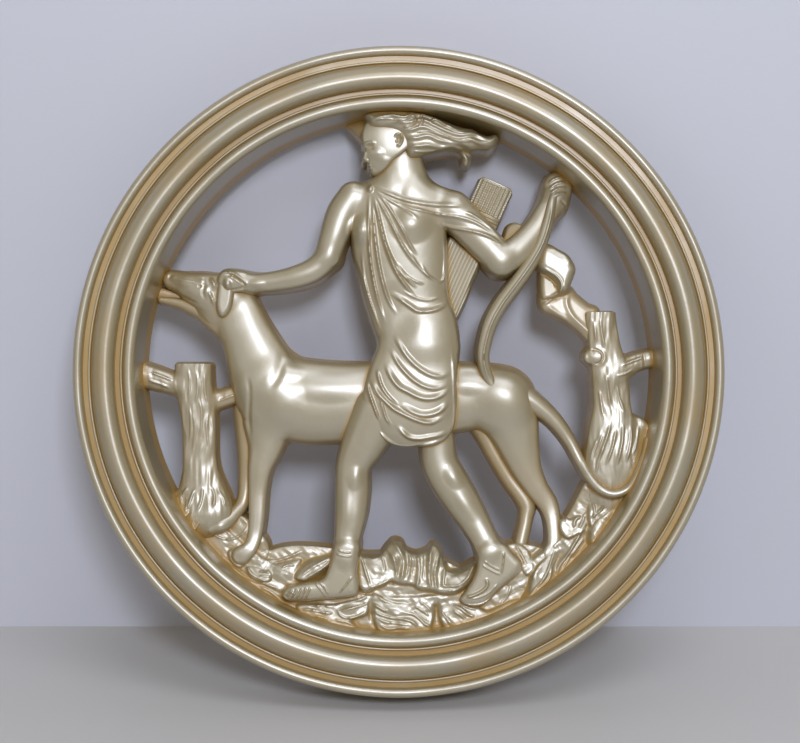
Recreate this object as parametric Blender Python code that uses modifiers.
"""Round pierced wall plaque cast in plaster: a huntress strides beside her hound between two tree stumps,
inside a moulded ring. Metres, +Z up. The front faces -Y and the back is flat on Y = 0. The origin is the
point on the back of the ring, at its top, where the plaque rests against the wall it hangs on."""

import math

import bpy
import bmesh
from mathutils import Matrix, Vector
from mathutils.bvhtree import BVHTree

# Ring sizes, metres
OUTER_RADIUS = 0.1675
OPENING_RADIUS = 0.135
RING_DEPTH = 0.040
OPENING_DRAFT = 0.0024
OUTER_DRAFT = 0.0008
OUTER_BEAD_WIDTH = 0.0052
INNER_BEAD_WIDTH = 0.0062
FILLET_WIDTH = 0.0016
GROOVE_WIDTH = 0.0024
CROWN_SHIFT = 0.0018
OUTER_BEAD_RISE = 0.0032
INNER_BEAD_RISE = 0.0034
FILLET_RISE = 0.0012
MOULDING_RISE = 0.009
RING_STEPS = 64

# Hanging recess in the back of the ring, and the mount above it, metres
MOUNT_INSET = 0.009
NAIL_RECESS_RADIUS = 0.0035
NAIL_RECESS_DEPTH = 0.012
NAIL_RECESS_DROP = 0.009
MOUNT_RADIUS = OUTER_RADIUS - MOUNT_INSET

# The relief is drawn in millimetres for an opening of this radius in a ring of this depth, and its
# figures scale with both. It is bedded this far into the ring, metres
DRAWN_OPENING = 135.0
DRAWN_DEPTH = 40.0
RELIEF_BED = 0.008
BLANK_VOXEL = 1.1
CARVED_VOXEL = 0.9
RELIEF_FACES = 6900
BACK_ALLOWANCE = 3.0
TUBE_RESOLUTION = 4
RIDGE_RESOLUTION = 2
FACES_FRONT = 0.2
RIDGE_SINK = 0.1
RIDGE_SPREAD = 1.25
SMOOTH_ANGLE = math.radians(40)

# Limbs of the relief: how far the front rounds up, as a share of the half width, then points on the
# centre line as x, z, half width and height of the side walls above the back, all in drawn millimetres
HUNTRESS = {
    "torso": (0.5, [(0.5, 89.5, 17.2, 14), (0, 81.5, 23.4, 15), (0, 68.5, 24.8, 15), (1.5, 57, 23.7, 15),
                    (3.5, 43.5, 22.1, 15), (6, 32, 20.8, 15), (9.5, 22, 20.8, 16), (10.5, 13, 20.8, 17)]),
    "neck": (0.5, [(0.5, 114.5, 11.2, 16), (1, 104.5, 12, 16), (3, 92.5, 13.5, 15)]),
    "left_bust": (0.6, [(-19, 77, 7, 19), (-18.5, 73, 7.5, 19)]),
    "right_bust": (0.6, [(6, 77, 8.5, 21.5), (7, 73, 9, 21.5)]),
    "right_shoulder": (0.62, [(3, 94.5, 8.9, 15), (15, 90.5, 8.8, 16), (27.5, 85.5, 8.8, 16)]),
    "left_shoulder": (0.62, [(0.5, 93.5, 9.4, 15), (-11, 91.5, 8.9, 15), (-21.5, 89, 8.1, 15)]),
    "left_upper_arm": (0.9, [(-24, 91, 8.1, 15), (-29.5, 82, 8.3, 15), (-33.5, 70, 7.5, 16),
                             (-37, 60.5, 6.8, 16)]),
    "left_forearm": (0.9, [(-37.5, 58.5, 6.5, 16), (-44, 53, 6.5, 16), (-53.5, 49, 6, 16),
                           (-64.5, 47, 5.3, 15), (-76.5, 46, 4.7, 14)]),
    "left_hand": (0.7, [(-76.5, 46.5, 4.7, 14), (-83, 47.5, 5.7, 14), (-88.5, 47.5, 6.3, 13)]),
    "right_upper_arm": (0.8, [(28.5, 84, 9.9, 16), (35.5, 77, 9.4, 16), (44.5, 67.5, 8.8, 17),
                              (53, 58, 8.3, 17)]),
    "right_forearm": (0.8, [(53.5, 57.5, 8.3, 17), (62.5, 64, 7.5, 16), (71.5, 74, 6.8, 14),
                            (78.5, 84.5, 6.5, 12), (81.5, 90, 7.1, 10)]),
    "right_fist": (0.7, [(81.5, 88, 6.8, 10), (83, 97, 7.9, 9)]),
    "bow": (1.0, [(82.5, 98, 1.8, 13), (79.5, 88, 2.3, 16), (77, 78, 2.9, 18), (73.5, 66.5, 3.1, 18),
                  (67.5, 56, 3.4, 17), (60, 45, 3.7, 16), (52.5, 35.5, 3.9, 16), (48, 26, 3.7, 16),
                  (45, 16.5, 3.5, 16), (44, 8, 3.2, 16), (45, 1, 2.9, 16), (49, -8.5, 1.8, 16)]),
    "skirt": (0.28, [(10.5, 16.5, 20.8, 18), (9.5, 6, 21.8, 19), (7.5, -5.5, 23.3, 20),
                     (5, -15.5, 23.8, 20)]),
    "skirt_corner": (0.35, [(15, -14.5, 15.5, 20), (14.5, -24.5, 15, 20)]),
    "left_leg": (0.85, [(-9.5, -22.5, 13.5, 17), (-18, -38, 10.7, 16), (-24, -51, 8.6, 16),
                        (-24, -62.5, 8.6, 16), (-25.5, -75.5, 7.5, 17), (-27, -88.5, 6.3, 18),
                        (-27.5, -97.5, 6.5, 20)]),
    "left_foot": (0.7, [(-27.5, -103.5, 7, 22), (-35.5, -109.5, 6.2, 23), (-46, -112.5, 4.9, 23),
                        (-55, -114, 3.4, 23)]),
    "right_leg": (0.85, [(20, -35.5, 10.4, 13), (21, -48.5, 8.9, 13), (26, -60.5, 9.1, 13),
                         (32.5, -71, 8.3, 14), (39, -81.5, 6.5, 15), (44.5, -90.5, 6, 17)]),
    "right_foot": (0.6, [(47.5, -95.5, 6.7, 19), (52.5, -100.5, 7.8, 20), (46, -109, 6.2, 22),
                         (38, -116.5, 3.6, 23)]),
    "skull": (0.62, [(-5, 122.5, 12.6, 19), (-4.5, 119.5, 12.2, 18)]),
    "jaw": (0.6, [(-5.5, 113.5, 8.5, 18), (-11, 109, 5, 18)]),
    "brow": (0.6, [(-12, 124, 6.2, 18), (-14, 119.5, 4, 18)]),
    "nose": (0.9, [(-16.2, 120, 1.6, 18), (-18.2, 115.6, 1.9, 18)]),
    "lips": (0.9, [(-15.2, 112.2, 2.4, 18), (-14.6, 110.6, 2.2, 18)]),
    "chin": (0.8, [(-14, 107.4, 2.9, 18), (-11, 106.8, 3.2, 18)]),
    "hair": (0.6, [(-3, 124.5, 9.3, 21), (8.5, 123.5, 9.3, 21), (21.5, 123, 7.5, 19), (33, 121.5, 5.5, 17),
                   (43.5, 119, 4.2, 16), (48.5, 119.5, 3.4, 15)]),
    "hair_tuft": (0.6, [(16.5, 120.5, 6.2, 18), (26.5, 117.5, 4.7, 16), (33, 114, 3.1, 15),
                        (35, 110, 1.8, 14)]),
    "quiver_foot": (0.6, [(30, 65, 5.8, 9), (32.5, 56, 7.1, 9), (31.5, 46.5, 5.8, 9), (30.5, 37.5, 3.7, 9),
                          (30, 29.5, 1.6, 9)]),
    "scarf_fold": (0.5, [(57.5, 69, 2.1, 9), (59.5, 73.5, 3.7, 10), (63.5, 74.5, 2.6, 10)]),
    "scarf": (0.6, [(78.5, 63.5, 4.2, 11), (84, 57, 7.3, 11), (86, 50, 6.3, 11), (85.5, 44, 5.2, 10)]),
    "scarf_end": (0.4, [(80, 42, 5.8, 9), (84.5, 35.5, 7.9, 9), (92.5, 29, 7.9, 9), (102.5, 23, 8.9, 8)]),
}
HOUND = {
    "body": (0.5, [(-66.5, -10.5, 20, 8), (-52, -15.5, 22.1, 8), (-31, -16.5, 21.3, 8),
                   (0.5, -16, 20.5, 8), (27, -14, 18.4, 8), (41.5, -13, 17.3, 8), (54.5, -16, 16.8, 8)]),
    "neck": (0.55, [(-84.5, 35, 11.6, 8), (-81, 22, 13.1, 8), (-76, 10.5, 15.2, 8), (-71, -2, 17.9, 8)]),
    "skull": (0.6, [(-110, 44.5, 6.8, 7), (-100.5, 42.5, 9.5, 8), (-91, 41.5, 10.5, 8)]),
    "muzzle": (0.75, [(-118.5, 48.3, 5, 6), (-112, 46, 5.8, 7), (-104.5, 44, 7.4, 8)]),
    "mouth": (0.4, [(-124.5, 42.5, 3.2, 3.5), (-118, 38.5, 2.8, 3.5), (-110, 36.5, 2.4, 3.5)]),
    "jaw": (0.7, [(-125.5, 37.5, 1.5, 5), (-116.5, 36, 2.6, 5), (-107.5, 32.5, 4.7, 6),
                  (-98, 29.5, 6.8, 7)]),
    "ear": (0.4, [(-92, 42.5, 3.7, 14), (-92.5, 37.5, 3.9, 14), (-93.5, 33.5, 4.4, 13)]),
    "near_foreleg": (0.7, [(-69.5, -25.5, 15.7, 9), (-70.5, -38.5, 10.5, 10), (-72.5, -50.5, 6.3, 11),
                           (-73.5, -62, 4.7, 11), (-74, -75, 4.2, 12), (-75, -85, 3.7, 13),
                           (-78, -93, 3.6, 15), (-82.5, -96, 4.2, 15)]),
    "far_foreleg": (0.8, [(-81.5, -20, 5.3, 5), (-80.5, -41, 4.2, 5), (-80.5, -57, 3.7, 5),
                          (-82, -68.5, 3.4, 7), (-87.5, -77, 3.7, 10), (-95.5, -81.5, 3.9, 12)]),
    "haunch": (0.55, [(53, -16, 16.8, 8), (59.5, -28, 13.6, 9), (63, -39.5, 10.5, 9),
                      (67.5, -51.5, 7.6, 9), (72.5, -61.5, 5.5, 9), (78.5, -70, 4.7, 9)]),
    "near_hind_foot": (0.9, [(78.5, -69.5, 4.5, 9), (81, -77.5, 3.7, 10), (81, -89.5, 3.4, 12),
                             (79, -95, 3.7, 14)]),
    "far_hind_leg": (0.9, [(44, -35, 4.7, 5), (51.5, -45, 3.7, 5), (59, -58.5, 3.4, 5), (65.5, -69, 3.4, 5),
                           (65.5, -78, 2.9, 7), (63, -89.5, 3.1, 9)]),
    "tail": (1.0, [(64.5, -14, 7.3, 9), (74, -18, 4.7, 10), (83, -27, 3.7, 10), (90.5, -37.5, 3.1, 10),
                   (95.5, -48, 2.9, 11), (101, -58, 2.6, 12), (107, -62.5, 2.3, 14), (114, -63, 2.1, 16),
                   (121, -58.5, 1.9, 17), (126, -49, 1.7, 17), (130.5, -33.5, 1.5, 16)]),
}
TREES = {
    "left_trunk": (0.55, [(-107.5, 9, 10.2, 9), (-107.5, -4.5, 10.2, 9), (-106, -15, 10.2, 9),
                          (-105, -28, 9.2, 9), (-104.5, -46.5, 9.2, 9), (-102, -62, 10.5, 9)]),
    "left_root": (0.3, [(-104, -55, 9.5, 10), (-102, -66, 13.5, 10), (-97, -78, 10, 11)]),
    "left_branch": (0.8, [(-113, -8.5, 4.7, 8), (-125.5, -4.5, 5.8, 9), (-141, 0.5, 6.6, 9)]),
    "left_inner_branch": (0.9, [(-102, -17, 4.7, 7), (-84.5, -11, 4.2, 6)]),
    "right_trunk": (0.6, [(104.5, 37.5, 7.6, 9), (105, 27, 7.6, 9), (106.5, 14, 8.1, 9), (108.5, 1, 8.4, 9),
                           (111.5, -15, 8.4, 9), (112.5, -30.5, 11, 9)]),
    "right_root": (0.3, [(112, -25, 10, 10), (113.5, -40, 15.5, 10), (112, -58, 14, 11)]),
    "right_branch": (0.8, [(110, 2.5, 6.3, 9), (122.5, 5.5, 5.2, 9), (143.5, 7, 5, 9)]),
    "right_knot": (0.8, [(100.5, 10, 3.7, 11), (100, 6, 3.7, 11)]),
}
# Trunks are sawn off level at these heights
LEFT_TRUNK_TOP = 4.0
RIGHT_TRUNK_TOP = 31.0
GROUND = {
    "ledge": (0.3, [(-113.5, -70, 6.8, 13), (-103.5, -83.5, 8.9, 14), (-90.5, -98, 9.4, 15),
                    (-75, -107, 10.4, 16), (-56.5, -107, 16.1, 16), (-36, -111.5, 20.3, 16),
                    (-19, -113.5, 20.8, 17), (-3, -108, 22.9, 17), (16.5, -111, 22.9, 17),
                    (32, -118.5, 18.7, 17), (47.5, -114.5, 19.8, 17), (63, -109.5, 20.3, 15),
                    (77, -112, 16.5, 14)]),
    "left_rise": (0.3, [(-91, -82, 6.5, 10), (-83, -84, 8.5, 11), (-76, -93, 9, 12)]),
    "right_rise": (0.3, [(85, -99, 9, 13), (94, -83.5, 10.5, 13), (101.5, -75.5, 12.5, 13),
                         (116.5, -56.5, 16, 13), (126, -38.5, 9.4, 12)]),
}
# Outer part of the ground, which rises towards the ring: an arc about the centre of the opening,
# narrow and low at its ends, wide and high at the bottom
BANK_START = math.radians(211)
BANK_END = math.radians(338)
BANK_STEPS = 14
BANK_RADIUS = 131.0
BANK_HALF_WIDTH = (6.0, 13.0)
BANK_WALL = (11.0, 22.0)
BANK_ROUND = 0.35

# Quiver mouth: centre x and z, half width along and across, height, and lean from upright
QUIVER_MOUTH = (48.5, 93.5)
QUIVER_HALF_WIDTH = 9.0
QUIVER_HALF_LENGTH = 14.0
QUIVER_HEIGHT = 15.5
QUIVER_LEAN = math.radians(24)

# Carved lines raised on the relief: half width, then x and z along the line, in drawn millimetres
DRAPERY = [
    (1.5, [(-15.5, 95.5), (-7, 92), (-0.5, 88.5), (6, 86.5), (16, 85.5), (33, 85)]),
    (1.6, [(-12, 93.5), (0.5, 85.5), (16, 81.5), (29, 78), (47, 72.5)]),
    (1.3, [(21.5, 76), (29, 74), (42, 73.5), (52, 71)]),
    (1.3, [(-17, 92.5), (-16, 73), (-15, 57.5), (-11.5, 37), (-7, 22.5)]),
    (1.6, [(-13.5, 82.5), (-10.5, 68), (-5.5, 56.5), (0.5, 45.5), (8.5, 37)]),
    (1.4, [(-11.5, 86), (-4.5, 75.5), (1.5, 63.5), (13.5, 50)]),
    (1.6, [(3, 35.5), (7, 32), (16, 31.5), (25.5, 34)]),
    (1.4, [(-3.5, 10), (-0.5, 5), (8.5, -3.5)]),
    (1.8, [(-6, 1), (-4.5, -4), (0.5, -9.5), (8.5, -13.5), (15, -14.5), (21.5, -12.5), (26.5, -8.5)]),
    (2.0, [(-11, 1), (-10.5, -7), (-7, -13.5), (0.5, -21), (8.5, -26), (15, -27), (21.5, -25),
           (26, -20.5)]),
    (1.5, [(-16, -6), (-14.5, -14.5), (-10, -24)]),
    (1.8, [(-17, -24), (-9.5, -31), (-3.5, -36), (6, -38.5), (18.5, -37), (26.5, -33)]),
]
HAIR_LOCKS = [
    (1.5, [(-15, 128.5), (-7, 131.5), (3, 131), (12, 129.5), (22, 128), (29, 125.5), (40.5, 122.5)]),
    (1.5, [(-13.5, 124.5), (-6, 127), (3, 127.5), (12, 124.5), (22, 123.5), (34, 121.5), (48, 119.5)]),
    (1.4, [(-3, 122.5), (6, 123), (14, 120), (25, 118.5), (35, 117.5)]),
    (1.5, [(2.5, 117.5), (11, 117), (20, 115.8), (28.5, 114.5), (34, 110)]),
]
HOUND_LINES = [
    (1.5, [(-94, 46.5), (-94.5, 37.5), (-92.5, 30)]),
    (2.0, [(-71, 22), (-60.5, 5), (-55.5, -13.5), (-58.5, -27.5)]),
    (2.0, [(48.5, 0), (44.5, -14.5), (48.5, -27.5), (55.5, -38)]),
]
FINGERS = [
    (1.2, [(-92, 52), (-86, 49.5), (-80, 46.5)]),
    (1.2, [(-92.5, 47), (-86, 46)]),
    (1.2, [(81.5, 99), (87.5, 97.5)]),
    (1.2, [(81, 95), (87.5, 93.5)]),
    (1.2, [(80.5, 91), (87, 90)]),
]
STRAPS = [
    (1.2, [(-33, -92.5), (-21.5, -92.5)]),
    (1.2, [(-40, -106.5), (-36.5, -112)]),
    (1.2, [(42.5, -97), (51, -101), (53, -95)]),
]
BARK = [
    (1.4, [(-112.5, 1), (-111, -14.5), (-109.5, -30.5), (-110, -51), (-113, -66)]),
    (1.4, [(-107.5, 1), (-106, -14.5), (-104.5, -30.5), (-104, -48.5), (-105, -69.5)]),
    (1.4, [(-102.5, 1), (-101.5, -14.5), (-100, -30.5), (-99.5, -48.5), (-97.5, -67)]),
    (1.4, [(100, 28), (102, 11.5), (104.5, -9.5), (106.5, -25), (105, -43.5)]),
    (1.4, [(105, 28), (107, 11.5), (109, -9.5), (112, -25), (112, -46)]),
    (1.4, [(109, 28), (111, 11.5), (114, -9.5), (118, -25), (119.5, -43.5)]),
]
ROCKS = [
    (2.6, [(-109, -69), (-104.5, -81.5), (-96.5, -93)]),
    (2.4, [(-100, -80.5), (-91.5, -95), (-79.5, -108.5)]),
    (2.4, [(-84, -100.5), (-70.5, -112.5), (-55, -124)]),
    (2.6, [(-72.5, -94), (-56, -96), (-36, -95)]),
    (2.6, [(-19, -95), (-11.5, -94), (-4.5, -89), (2.5, -92)]),
    (2.4, [(-14, -100.5), (-10.5, -110), (-13, -121)]),
    (2.6, [(0.5, -93), (-1.5, -105), (2.5, -117)]),
    (2.6, [(13, -92), (15, -105), (11, -119)]),
    (2.4, [(24.5, -98), (21.5, -110), (25.5, -123)]),
    (2.6, [(62.5, -119), (72, -105), (78, -94)]),
    (2.6, [(73, -115), (83.5, -97), (92, -82)]),
    (2.4, [(86.5, -102.5), (96.5, -84.5), (104, -70)]),
    (2.4, [(99, -87), (107, -71.5), (115, -58)]),
]
QUIVER_FLUTES = [
    (1.1, [(27.5 + 3.3 * k, 64.5 - 2.0 * k), (26.5 + 1.6 * k, 43 - 4.5 * k)]) for k in range(4)
]
CARVING = DRAPERY + HAIR_LOCKS + HOUND_LINES + FINGERS + STRAPS + BARK + ROCKS + QUIVER_FLUTES


def clear_scene():
    for item in list(bpy.data.objects):
        bpy.data.objects.remove(item, do_unlink=True)


def new_collection(name):
    made = bpy.data.collections.new(name)
    bpy.context.scene.collection.children.link(made)
    return made


def add_object(name, mesh, collection):
    made = bpy.data.objects.new(name, mesh)
    collection.objects.link(made)
    return made


def evaluated_mesh(item):
    """A new mesh of the object with its modifiers applied."""
    bpy.context.view_layer.update()
    graph = bpy.context.evaluated_depsgraph_get()
    return bpy.data.meshes.new_from_object(item.evaluated_get(graph))


def bake(item):
    """Replaces the object's mesh by what its modifiers make of it."""
    made = evaluated_mesh(item)
    item.modifiers.clear()
    item.data = made


def plaster_material():
    made = bpy.data.materials.new("pearl_painted_plaster")
    made.use_nodes = True
    shader = made.node_tree.nodes["Principled BSDF"]
    shader.inputs["Base Color"].default_value = (0.42, 0.37, 0.27, 1.0)
    shader.inputs["Roughness"].default_value = 0.36
    shader.inputs["Metallic"].default_value = 0.45
    return made


def tube_mesh(points, resolution, collection):
    """A round tube through points of x, y, z and radius, with its caps welded."""
    curve = bpy.data.curves.new("tube", "CURVE")
    curve.dimensions = "3D"
    curve.twist_mode = "Z_UP"
    curve.resolution_u = 4
    curve.bevel_depth = 1.0
    curve.bevel_resolution = resolution
    curve.use_fill_caps = True
    spline = curve.splines.new("BEZIER")
    spline.radius_interpolation = "CARDINAL"
    spline.bezier_points.add(len(points) - 1)
    for knot, (x, y, z, radius) in zip(spline.bezier_points, points):
        knot.co = (x, y, z)
        knot.radius = radius
        knot.handle_left_type = "AUTO"
        knot.handle_right_type = "AUTO"
    item = add_object("tube", curve, collection)
    mesh = evaluated_mesh(item)
    bpy.data.objects.remove(item, do_unlink=True)
    return mesh


def add_ball(shape, centre, radius):
    place = Matrix.Translation(centre) @ Matrix.Scale(radius, 4)
    bmesh.ops.create_uvsphere(shape, u_segments=16, v_segments=8, radius=1.0, matrix=place)


def add_limb(shape, roundness, points, collection):
    """One limb: a tube with round ends, flattened to its roundness, its sides let down to the back."""
    limb = bmesh.new()
    raised = [(x, z, wall / roundness, half) for x, z, half, wall in points]
    limb.from_mesh(tube_mesh(raised, TUBE_RESOLUTION, collection))
    bmesh.ops.remove_doubles(limb, verts=limb.verts, dist=0.001)
    for x, y, z, radius in (raised[0], raised[-1]):
        add_ball(limb, (x, y, z), radius)
    bmesh.ops.scale(limb, vec=(1.0, 1.0, roundness), verts=limb.verts)
    bmesh.ops.recalc_face_normals(limb, faces=limb.faces)
    limb.normal_update()
    for vertex in limb.verts:
        if vertex.normal.z < FACES_FRONT:
            vertex.co.z = -BACK_ALLOWANCE
    append(shape, limb)


def append(shape, piece):
    """Adds a finished piece to the shape that collects them."""
    mesh = bpy.data.meshes.new("piece")
    piece.to_mesh(mesh)
    piece.free()
    shape.from_mesh(mesh)
    bpy.data.meshes.remove(mesh)


def add_block(shape, centre, size, lean):
    """A box from the back up to a height, its centre and size in drawn millimetres."""
    height = size[2] + BACK_ALLOWANCE
    place = (
        Matrix.Translation((centre[0], centre[1], height / 2 - BACK_ALLOWANCE))
        @ Matrix.Rotation(-lean, 4, "Z")
        @ Matrix.Diagonal((size[0], size[1], height, 1.0))
    )
    bmesh.ops.create_cube(shape, size=1.0, matrix=place)


def bank_points():
    """The arc of raised ground against the ring."""
    points = []
    for k in range(BANK_STEPS):
        share = k / (BANK_STEPS - 1)
        angle = BANK_START + share * (BANK_END - BANK_START)
        swell = math.sin(math.pi * share)
        half = BANK_HALF_WIDTH[0] + swell * (BANK_HALF_WIDTH[1] - BANK_HALF_WIDTH[0])
        wall = BANK_WALL[0] + swell * (BANK_WALL[1] - BANK_WALL[0])
        points.append((BANK_RADIUS * math.cos(angle), BANK_RADIUS * math.sin(angle), half, wall))
    return points


def remesh_and_bake(item, voxel):
    made = item.modifiers.new("fuse", "REMESH")
    made.mode = "VOXEL"
    made.voxel_size = voxel
    bake(item)


def cut_with_box(item, low, high, cutters):
    """Takes away everything between two corners, given in the object's own units."""
    shape = bmesh.new()
    size = Vector(high) - Vector(low)
    place = Matrix.Translation((Vector(high) + Vector(low)) / 2) @ Matrix.Diagonal((*size, 1.0))
    bmesh.ops.create_cube(shape, size=1.0, matrix=place)
    mesh = bpy.data.meshes.new("cutter")
    shape.to_mesh(mesh)
    shape.free()
    cutter = add_object("cutter", mesh, cutters)
    combine(item, cutter, "DIFFERENCE")
    bpy.data.objects.remove(cutter, do_unlink=True)


def combine(item, other, operation):
    made = item.modifiers.new(operation.lower(), "BOOLEAN")
    made.operation = operation
    made.object = other
    made.solver = "EXACT"
    bake(item)


def relief_blank(collection, cutters):
    """The relief without its carved lines, lying face up: x and y drawn, z the height above the back."""
    shape = bmesh.new()
    limbs = [limb for group in (HUNTRESS, HOUND, TREES, GROUND) for limb in group.values()]
    limbs.append((BANK_ROUND, bank_points()))
    for roundness, points in limbs:
        add_limb(shape, roundness, points, collection)
    size = (2 * QUIVER_HALF_WIDTH, 2 * QUIVER_HALF_LENGTH, QUIVER_HEIGHT)
    lean = Vector((math.sin(QUIVER_LEAN), math.cos(QUIVER_LEAN)))
    middle = Vector(QUIVER_MOUTH) - lean * QUIVER_HALF_LENGTH / 2
    add_block(shape, middle, size, QUIVER_LEAN)
    mesh = bpy.data.meshes.new("relief")
    shape.to_mesh(mesh)
    shape.free()
    relief = add_object("relief", mesh, cutters)
    remesh_and_bake(relief, BLANK_VOXEL)
    reach = DRAWN_OPENING
    cut_with_box(relief, (-118.5, LEFT_TRUNK_TOP, -reach), (-96.0, LEFT_TRUNK_TOP + 20, reach), cutters)
    cut_with_box(relief, (95.5, RIGHT_TRUNK_TOP, -reach), (115.0, RIGHT_TRUNK_TOP + 18, reach), cutters)
    return relief


def surface_height(tree, x, y):
    """Height of the relief's front at a point, or None beside it."""
    hit = tree.ray_cast(Vector((x, y, DRAWN_OPENING)), Vector((0.0, 0.0, -1.0)))[0]
    return None if hit is None or hit.z < 1.0 else hit.z


def carve(relief, collection):
    """Lays each carved line on the front as a slim tube, partly sunk in."""
    bpy.context.view_layer.update()
    tree = BVHTree.FromObject(relief, bpy.context.evaluated_depsgraph_get())
    shape = bmesh.new()
    shape.from_mesh(relief.data)
    for drawn_half, line in CARVING:
        half = drawn_half * RIDGE_SPREAD
        points = []
        for x, y in line:
            height = surface_height(tree, x, y)
            if height is not None:
                points.append((x, y, height - half * RIDGE_SINK, half))
        if len(points) < 2:
            continue
        points[0] = (*points[0][:3], half / 2)
        points[-1] = (*points[-1][:3], half / 2)
        ridge = bmesh.new()
        ridge.from_mesh(tube_mesh(points, RIDGE_RESOLUTION, collection))
        bmesh.ops.remove_doubles(ridge, verts=ridge.verts, dist=0.001)
        bmesh.ops.recalc_face_normals(ridge, faces=ridge.faces)
        append(shape, ridge)
    shape.to_mesh(relief.data)
    shape.free()
    remesh_and_bake(relief, CARVED_VOXEL)


def thin_out(relief):
    """Brings the relief down to its face budget, keeping faces where it curves."""
    made = relief.modifiers.new("triangles", "TRIANGULATE")
    made = relief.modifiers.new("thin", "DECIMATE")
    made.ratio = RELIEF_FACES / (2 * len(relief.data.polygons))
    bake(relief)


def moulding(outer, inner, base, rise, steps, shift=0.0):
    """A rounded moulding between two radii, as points from its outer to its inner foot. Its crown can lie
    inwards of its middle."""
    middle = (outer + inner) / 2
    half = (outer - inner) / 2
    angles = [math.pi * k / steps for k in range(steps + 1)]
    return [(middle + half * math.cos(a) - shift * math.sin(a), base + rise * math.sin(a)) for a in angles]


def ring_profile():
    """The ring's section as radius and height above the back, down the outer wall and round."""
    floor = RING_DEPTH - MOULDING_RISE
    bead_foot = OUTER_RADIUS - OUTER_DRAFT
    outer_groove = bead_foot - OUTER_BEAD_WIDTH
    inner_groove = OPENING_RADIUS + INNER_BEAD_WIDTH
    torus_outer = outer_groove - GROOVE_WIDTH - FILLET_WIDTH
    torus_inner = inner_groove + FILLET_WIDTH + GROOVE_WIDTH
    face = moulding(bead_foot, outer_groove, floor, OUTER_BEAD_RISE, 4)
    face += moulding(outer_groove - GROOVE_WIDTH, torus_outer, floor, FILLET_RISE, 2)[:-1]
    face += moulding(torus_outer, torus_inner, floor, MOULDING_RISE, 6, CROWN_SHIFT)
    face += moulding(inner_groove + FILLET_WIDTH, inner_groove, floor, FILLET_RISE, 2)[:-1]
    face += moulding(inner_groove, OPENING_RADIUS, floor, INNER_BEAD_RISE, 4)
    walls = [(OPENING_RADIUS - OPENING_DRAFT, 0.0), (OUTER_RADIUS, 0.0)]
    return (face + walls)[::-1]


def make_ring(collection):
    """The ring, turned from its section about the middle of the plaque."""
    section = ring_profile()
    shape = bmesh.new()
    corners = [shape.verts.new((radius, 0.0, height)) for radius, height in section]
    for k, corner in enumerate(corners):
        shape.edges.new((corner, corners[(k + 1) % len(corners)]))
    mesh = bpy.data.meshes.new("plaque")
    shape.to_mesh(mesh)
    shape.free()
    ring = add_object("plaque", mesh, collection)
    turn = ring.modifiers.new("turn", "SCREW")
    turn.axis = "Z"
    turn.steps = RING_STEPS
    turn.render_steps = RING_STEPS
    turn.use_merge_vertices = True
    turn.merge_threshold = 0.00005
    bake(ring)
    return ring


def round_cutter(name, radius, depth, centre, segments, cutters):
    """A closed cylinder standing along z."""
    shape = bmesh.new()
    bmesh.ops.create_cone(
        shape,
        cap_ends=True,
        segments=segments,
        radius1=radius,
        radius2=radius,
        depth=depth,
        matrix=Matrix.Translation(centre),
    )
    mesh = bpy.data.meshes.new(name)
    shape.to_mesh(mesh)
    shape.free()
    return add_object(name, mesh, cutters)


def bed_disc(cutters):
    """The disc that trims the relief flat at the back and to its bed inside the ring."""
    radius = OPENING_RADIUS + RELIEF_BED
    centre = (0.0, 0.0, RING_DEPTH / 2)
    return round_cutter("bed_disc", radius, RING_DEPTH, centre, RING_STEPS, cutters)


def nail_recess(cutters):
    """The blind round recess that the wall's nail goes into, as a cutter."""
    centre = (0.0, MOUNT_RADIUS - NAIL_RECESS_DROP, 0.0)
    return round_cutter("nail_recess", NAIL_RECESS_RADIUS, 2 * NAIL_RECESS_DEPTH, centre, 16, cutters)


def mark_as_helper(item):
    item.hide_render = True
    item.display_type = "WIRE"


def build():
    clear_scene()
    parts = new_collection("wall_plaque")
    cutters = new_collection("helpers")

    relief = relief_blank(parts, cutters)
    carve(relief, parts)
    thin_out(relief)
    across = OPENING_RADIUS / DRAWN_OPENING
    relief.data.transform(Matrix.Diagonal((across, across, RING_DEPTH / DRAWN_DEPTH, 1.0)))
    bed = bed_disc(cutters)
    combine(relief, bed, "INTERSECT")

    plaque = make_ring(parts)
    recess = nail_recess(cutters)
    combine(plaque, relief, "UNION")
    combine(plaque, recess, "DIFFERENCE")
    hang = Matrix.Translation((0.0, 0.0, -MOUNT_RADIUS)) @ Matrix.Rotation(math.radians(90), 4, "X")
    plaque.data.transform(hang)
    plaque.data.materials.clear()
    plaque.data.materials.append(plaster_material())
    plaque.data.shade_smooth()
    plaque.data.set_sharp_from_angle(angle=SMOOTH_ANGLE)
    for helper in (relief, bed, recess):
        mark_as_helper(helper)


build()
